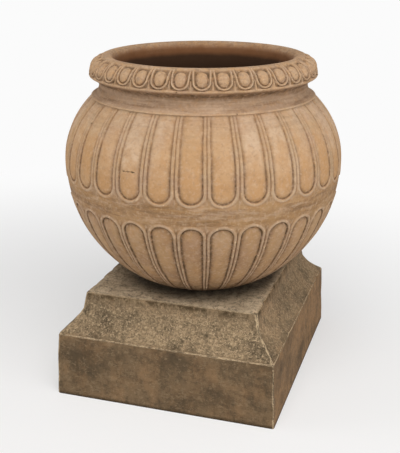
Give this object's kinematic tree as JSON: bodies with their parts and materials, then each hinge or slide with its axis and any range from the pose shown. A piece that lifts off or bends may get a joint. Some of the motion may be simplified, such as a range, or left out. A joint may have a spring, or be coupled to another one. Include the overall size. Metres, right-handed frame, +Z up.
{
  "type": "terracotta cachepot",
  "caption": "Globular terracotta pot with an egg-and-dart rim and rows of round-ended tongues, open at the top, standing on a separate hollow plinth with a shallow cavetto moulding.",
  "frame": {"origin": "on the ground, on the vertical axis of the pot", "axes": "+Z up along the pot's axis, -Y out of the plinth's front, +X out of its right side"},
  "size_m": [0.56, 0.57, 0.673],
  "materials": {
    "weathered_terracotta": "matte",
    "terracotta": "matte"
  },
  "bodies": {
    "plinth": {"plinth": "weathered_terracotta"},
    "pot": {"pot": "terracotta"}
  },
  "joints": [
    {"name": "pot_lift", "type": "slide", "parent": "plinth", "child": "pot", "axis": [0, 0, 1], "range_m": [0, 0.3]}
  ]
}
